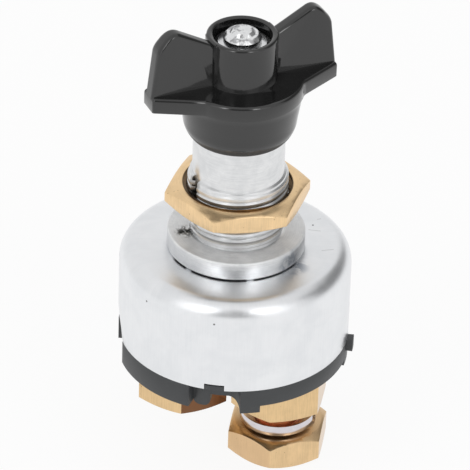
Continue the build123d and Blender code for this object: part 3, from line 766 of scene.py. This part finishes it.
# The core colour paints shade inside the nut's bore.
nut_brass = brass_finish("nut_brass", (0.0, 0.0), nut_low, nut_high, nut_yellow, nut_downward_grey,
                         core=nut_bore_rim)
nut = surface_copy("panel_nut", "neck_nut")
for corner in nut.data.vertices:
    if radius_of(corner) < nut_bore_root:
        set_radius(corner, nut_bore_root)
edges_broken(nut, nut_edge)
stands_for(nut, "panel_nut", "nut", nut_brass)
nut_thread = cut_thread("nut_thread", nut_brass, nut_low + 0.0001, nut_high - 0.0001,
                        nut_bore_root, -nut_ridge)
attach(nut_thread, "nut")


# Spindle and its washer
# A plated steel rod through the neck. Its end is peened over a plain washer in the knob's
# recess, which leaves the head round with a few flats from the tool.

rivet_dome = 0.0006
rivet_rounding = 0.0006
dent_scale = 380.0
washer_edge = 0.0001


def clouded_finish(name, metallic, first, second, scale, smoothest, rougher=0.2,
                   relief=(0.2, 0.00005), centre=(0.0, 0.0)):
    """A finish with slight clouding in its colour, roughness and relief."""
    made, tree, shader = finish_start(name, metallic)
    clouds = noise(tree, object_point(tree, centre), scale, 3.0, 0.6)
    colour = blend(tree, clouds, first, second)
    dress(tree, shader, colour, weighted(tree, smoothest, (clouds, rougher)), clouds, *relief)
    return made


peened_zinc, tree, shader = finish_start("peened_zinc", 1.0)
point = object_point(tree)
dents = tree.nodes.new("ShaderNodeTexVoronoi")
dents.feature = "SMOOTH_F1"
dents.inputs["Scale"].default_value = dent_scale
tree.links.new(point, dents.inputs["Vector"])
clouds = noise(tree, point, 700.0, 3.0, 0.6)
colour = blend(tree, clouds, (0.70, 0.71, 0.72, 1), (0.88, 0.885, 0.89, 1))
# Dark patches on the peened head are painted reflections of its facets.
rivet_dark_reflections = ramp_between(tree, noise(tree, point, 420.0, 2.0, 0.5), 0.40, 0.47, 0.65, 0.0)
colour = blend(tree, rivet_dark_reflections, colour, (0.22, 0.22, 0.23, 1))
rough = weighted(tree, 0.12, (clouds, 0.16))
relief = weighted(tree, dents.outputs["Distance"], (clouds, 0.15))
dress(tree, shader, colour, rough, relief, 0.8, 0.0008)

rod = surface_copy("spindle", "spindle_rod")
rivet_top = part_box("spindle")[1].z
for corner in rod.data.vertices:
    if corner.co.z > rivet_top - 0.0001:
        corner.co.z += rivet_dome
edges_broken(rod, rivet_rounding, 4, smooth_angle=60.0)
stands_for(rod, "spindle", "knob", peened_zinc)

small_zinc = clouded_finish("small_zinc", 1.0, (0.66, 0.67, 0.69, 1), (0.84, 0.845, 0.85, 1),
                            900.0, 0.15, relief=(0.3, 0.00004))
recess_washer = edges_broken(surface_copy("knob_washer", "recess_washer"), washer_edge)
stands_for(recess_washer, "knob_washer", "knob", small_zinc)


# Wing knob
# One black moulding of hard plastic with a half-gloss skin: cup over the neck, collar, hub ring
# and two wings, pressed on the spindle's square. A gate mark is left on one tip.

knob_refraction = 1.66
knob_edge = 0.00015
knob_black_low = (0.006, 0.006, 0.006, 1)
knob_black_high = (0.010, 0.010, 0.010, 1)
gate_place = (-0.0207, -0.0074, 0.0365)
gate_size = 0.0006
gate_black = (0.002, 0.002, 0.002, 1)

wing_azimuth = math.radians(24.5)
wing_foot = 0.0386
wing_rise = 0.0142
wing_start = 0.0070
wing_half_thick = 0.0022
wing_end_start = 0.0140
wing_end_length = 0.0060
wing_rings = (-0.0195, -0.0175, -0.0155, 0.0155, 0.0175, 0.0195)
wing_thicker = 0.45
wing_end_wider = 0.5
wing_foot_out = 0.00095
wing_lean = 0.0022

knob_black, tree, shader = finish_start("moulded_black", 0.0)
shader.inputs["IOR"].default_value = knob_refraction
point = object_point(tree)
azimuth, reach, height = around_axis(tree, point)
skin = noise(tree, point, 900.0, 3.0, 0.55)
handling = noise(tree, point, 140.0, 3.0, 0.6, 0.5)
colour = blend(tree, handling, knob_black_low, knob_black_high)
colour = blend(tree, spot(tree, point, gate_place, gate_size), colour, gate_black)
knob_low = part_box("wing_knob")[0].z
rough_foot = ramp_between(tree, height, knob_low + 0.0010, knob_low + 0.0024, 0.5, 0.0)
rough = weighted(tree, 0.05, (handling, 0.08), (rough_foot, 1.0))
dress(tree, shader, colour, rough, skin, 0.1, 0.00005)

# The wings thicken towards their tops and ends, stand out at their foot and lean in above.
wing_along = Vector((math.cos(wing_azimuth), math.sin(wing_azimuth), 0.0))
wing_across = Vector((-math.sin(wing_azimuth), math.cos(wing_azimuth), 0.0))
knob = surface_copy("wing_knob", "knob_moulding")
shape = bmesh.new()
shape.from_mesh(knob.data)
for distance in wing_rings:
    cut_across(shape, wing_along * distance, wing_along)
for corner in shape.verts:
    out, aside = corner.co.dot(wing_along), corner.co.dot(wing_across)
    if corner.co.z < wing_foot + 0.0001 or abs(out) < wing_start or abs(aside) > wing_half_thick:
        continue
    risen = (corner.co.z - wing_foot) / wing_rise
    outermost = min(max((abs(out) - wing_end_start) / wing_end_length, 0.0), 1.0)
    outermost = outermost * outermost * (3 - 2 * outermost)
    wider = aside * (wing_thicker * risen + wing_end_wider * outermost * (1 - 0.5 * risen))
    further = math.copysign(1.0, out) * (wing_foot_out - wing_lean * risen) * outermost
    corner.co += wing_across * wider + wing_along * further
shape.to_mesh(knob.data)
shape.free()
edges_broken(knob, knob_edge, 2, edge_angle=35.0, smooth_angle=40.0)
stands_for(knob, "wing_knob", "knob", knob_black)


# Works inside
# Closed in the can: moulded cam rotor and contact carrier, spring steel clips and springs, the
# copper bridge with its silver tips, and the silver faces on the terminals.

natural_plastic = clouded_finish("natural_plastic", 0.0, (0.58, 0.54, 0.44, 1),
                                 (0.66, 0.62, 0.52, 1), 500.0, 0.4)
spring_steel = clouded_finish("spring_steel", 1.0, (0.42, 0.43, 0.45, 1),
                              (0.58, 0.59, 0.61, 1), 900.0, 0.25)
bare_copper = clouded_finish("bare_copper", 1.0, (0.72, 0.38, 0.24, 1),
                             (0.85, 0.50, 0.34, 1), 600.0, 0.22)
contact_silver = clouded_finish("contact_silver", 1.0, (0.80, 0.79, 0.76, 1),
                                (0.92, 0.91, 0.88, 1), 900.0, 0.15)
seal_rubber = clouded_finish("seal_rubber", 0.0, (0.02, 0.02, 0.02, 1),
                             (0.035, 0.035, 0.035, 1), 1200.0, 0.5)
for inner_finish, inner_nodes in (
    (natural_plastic, ("cam_rotor", "contact_carrier")),
    (spring_steel, ("rotor_clip", "pressure_spring", "carrier_clip", "return_spring")),
    (bare_copper, ("contact_bridge",)),
    (contact_silver, ("bridge_contacts", "fixed_contacts")),
    (seal_rubber, ("spindle_seal",)),
    (small_zinc, ("thrust_washer",)),
):
    for inner_name in inner_nodes:
        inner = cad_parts[inner_name]
        inner.data.materials.clear()
        inner.data.materials.append(inner_finish)


# Base insulator
# A matt black moulding pressed up into the can, with a rim under the can's edge, gaps in the
# rim, a key in the can's notch and a lug at the front.

base_edge = 0.00028
base_black_low = (0.030, 0.032, 0.034, 1)
base_black_high = (0.052, 0.055, 0.058, 1)

base_black, tree, shader = finish_start("moulded_base", 0.0)
point = object_point(tree)
skin = noise(tree, point, 1600.0, 3.0, 0.6)
handling = noise(tree, point, 160.0, 3.0, 0.6)
colour = blend(tree, handling, base_black_low, base_black_high)
dress(tree, shader, colour, weighted(tree, 0.38, (handling, 0.2)), skin, 0.3, 0.00006)

base = edges_broken(surface_copy("base_insulator", "base_moulding"), base_edge)
stands_for(base, "base_insulator", "switch_body", base_black)


# Terminals, bolt and washer
# Brass hexagon bar with a tapped hole from below, headed over inside the base. The right one
# holds a brass bolt with a bright split washer, for the cable's lug.

bolt_axis = (0.010632, -0.001211)
terminal_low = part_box("left_terminal")[0].z
terminal_high = -0.0275
terminal_edge = 0.00012
terminal_yellow = (0.80, 0.57, 0.31)
tapping_low = terminal_low + 0.0007
tapping_high = terminal_low + 0.0135
tapping_radius = 0.0050
tapping_ridge = 0.0008

head_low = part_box("terminal_bolt")[0].z
head_high = -0.0499
shank_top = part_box("terminal_bolt")[1].z
shank_root = 0.00412
shank_crest = 0.00488
shank_radius = 0.0050
bolt_edge = 0.00015
bolt_yellow = (0.80, 0.57, 0.32)
bolt_core = 0.0052
bolt_core_red = (1.0, 0.42, 0.25, 1)
split_washer_edge = 0.00012

# Painted reflections and shade, laid on whole faces by their direction: a brown reflection on the left
# terminal's front-right flat, pale reflections on flats that face right, painted shade on the bolt head's
# top and a golden reflection on its front-left flat.
brown_painted_reflection = (0.21, 0.10, 0.048, 1)
pale_painted_reflection = (0.86, 0.77, 0.72, 1)
terminal_painted_reflections = {
    "left": ((flat_towards(-60), 1.0, brown_painted_reflection),),
    "right": ((flat_towards(0), 0.5, pale_painted_reflection),),
}
bolt_painted_shade_and_reflections = (
    ((0, 0, 1), 0.25, (0.46, 0.27, 0.15, 1)),
    (flat_towards(-8), 0.5, pale_painted_reflection),
    (flat_towards(-128), 0.5, (0.68, 0.45, 0.26, 1)),
)

for side, axis in (("left", (-bolt_axis[0], -bolt_axis[1])), ("right", bolt_axis)):
    hex_brass = brass_finish(side + "_terminal_brass", axis, terminal_low, terminal_high,
                             terminal_yellow, terminal_painted_reflections[side])
    terminal = edges_broken(surface_copy(side + "_terminal", side + "_hexagon"), terminal_edge)
    stands_for(terminal, side + "_terminal", "switch_body", hex_brass)
    if side == "left":
        tapped = cut_thread("left_tapping", hex_brass, tapping_low, tapping_high,
                            tapping_radius, -tapping_ridge, at=axis)
        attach(tapped, "switch_body")

bolt_brass = brass_finish("bolt_brass", bolt_axis, head_low, head_high, bolt_yellow, bolt_painted_shade_and_reflections,
                          bolt_core, bolt_core_red)
bolt = surface_copy("terminal_bolt", "lug_bolt")
for corner in bolt.data.vertices:
    on_shank = shank_root < radius_of(corner, bolt_axis) < shank_radius
    if on_shank and corner.co.z > head_high + 0.0003:
        set_radius(corner, shank_root, bolt_axis)
edges_broken(bolt, bolt_edge)
stands_for(bolt, "terminal_bolt", "bolt", bolt_brass)
bolt_thread = cut_thread("bolt_thread", bolt_brass, head_high + 0.0006, shank_top - 0.0006,
                         shank_root, shank_crest - shank_root, at=bolt_axis)
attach(bolt_thread, "bolt")

washer_bright = clouded_finish("bright_split_washer", 1.0, (0.60, 0.57, 0.60, 1),
                               (0.76, 0.73, 0.76, 1), 800.0, 0.08, 0.12, (0.2, 0.00003), bolt_axis)
split_washer = edges_broken(surface_copy("lock_washer", "split_washer"), split_washer_edge)
stands_for(split_washer, "lock_washer", "bolt", washer_bright)
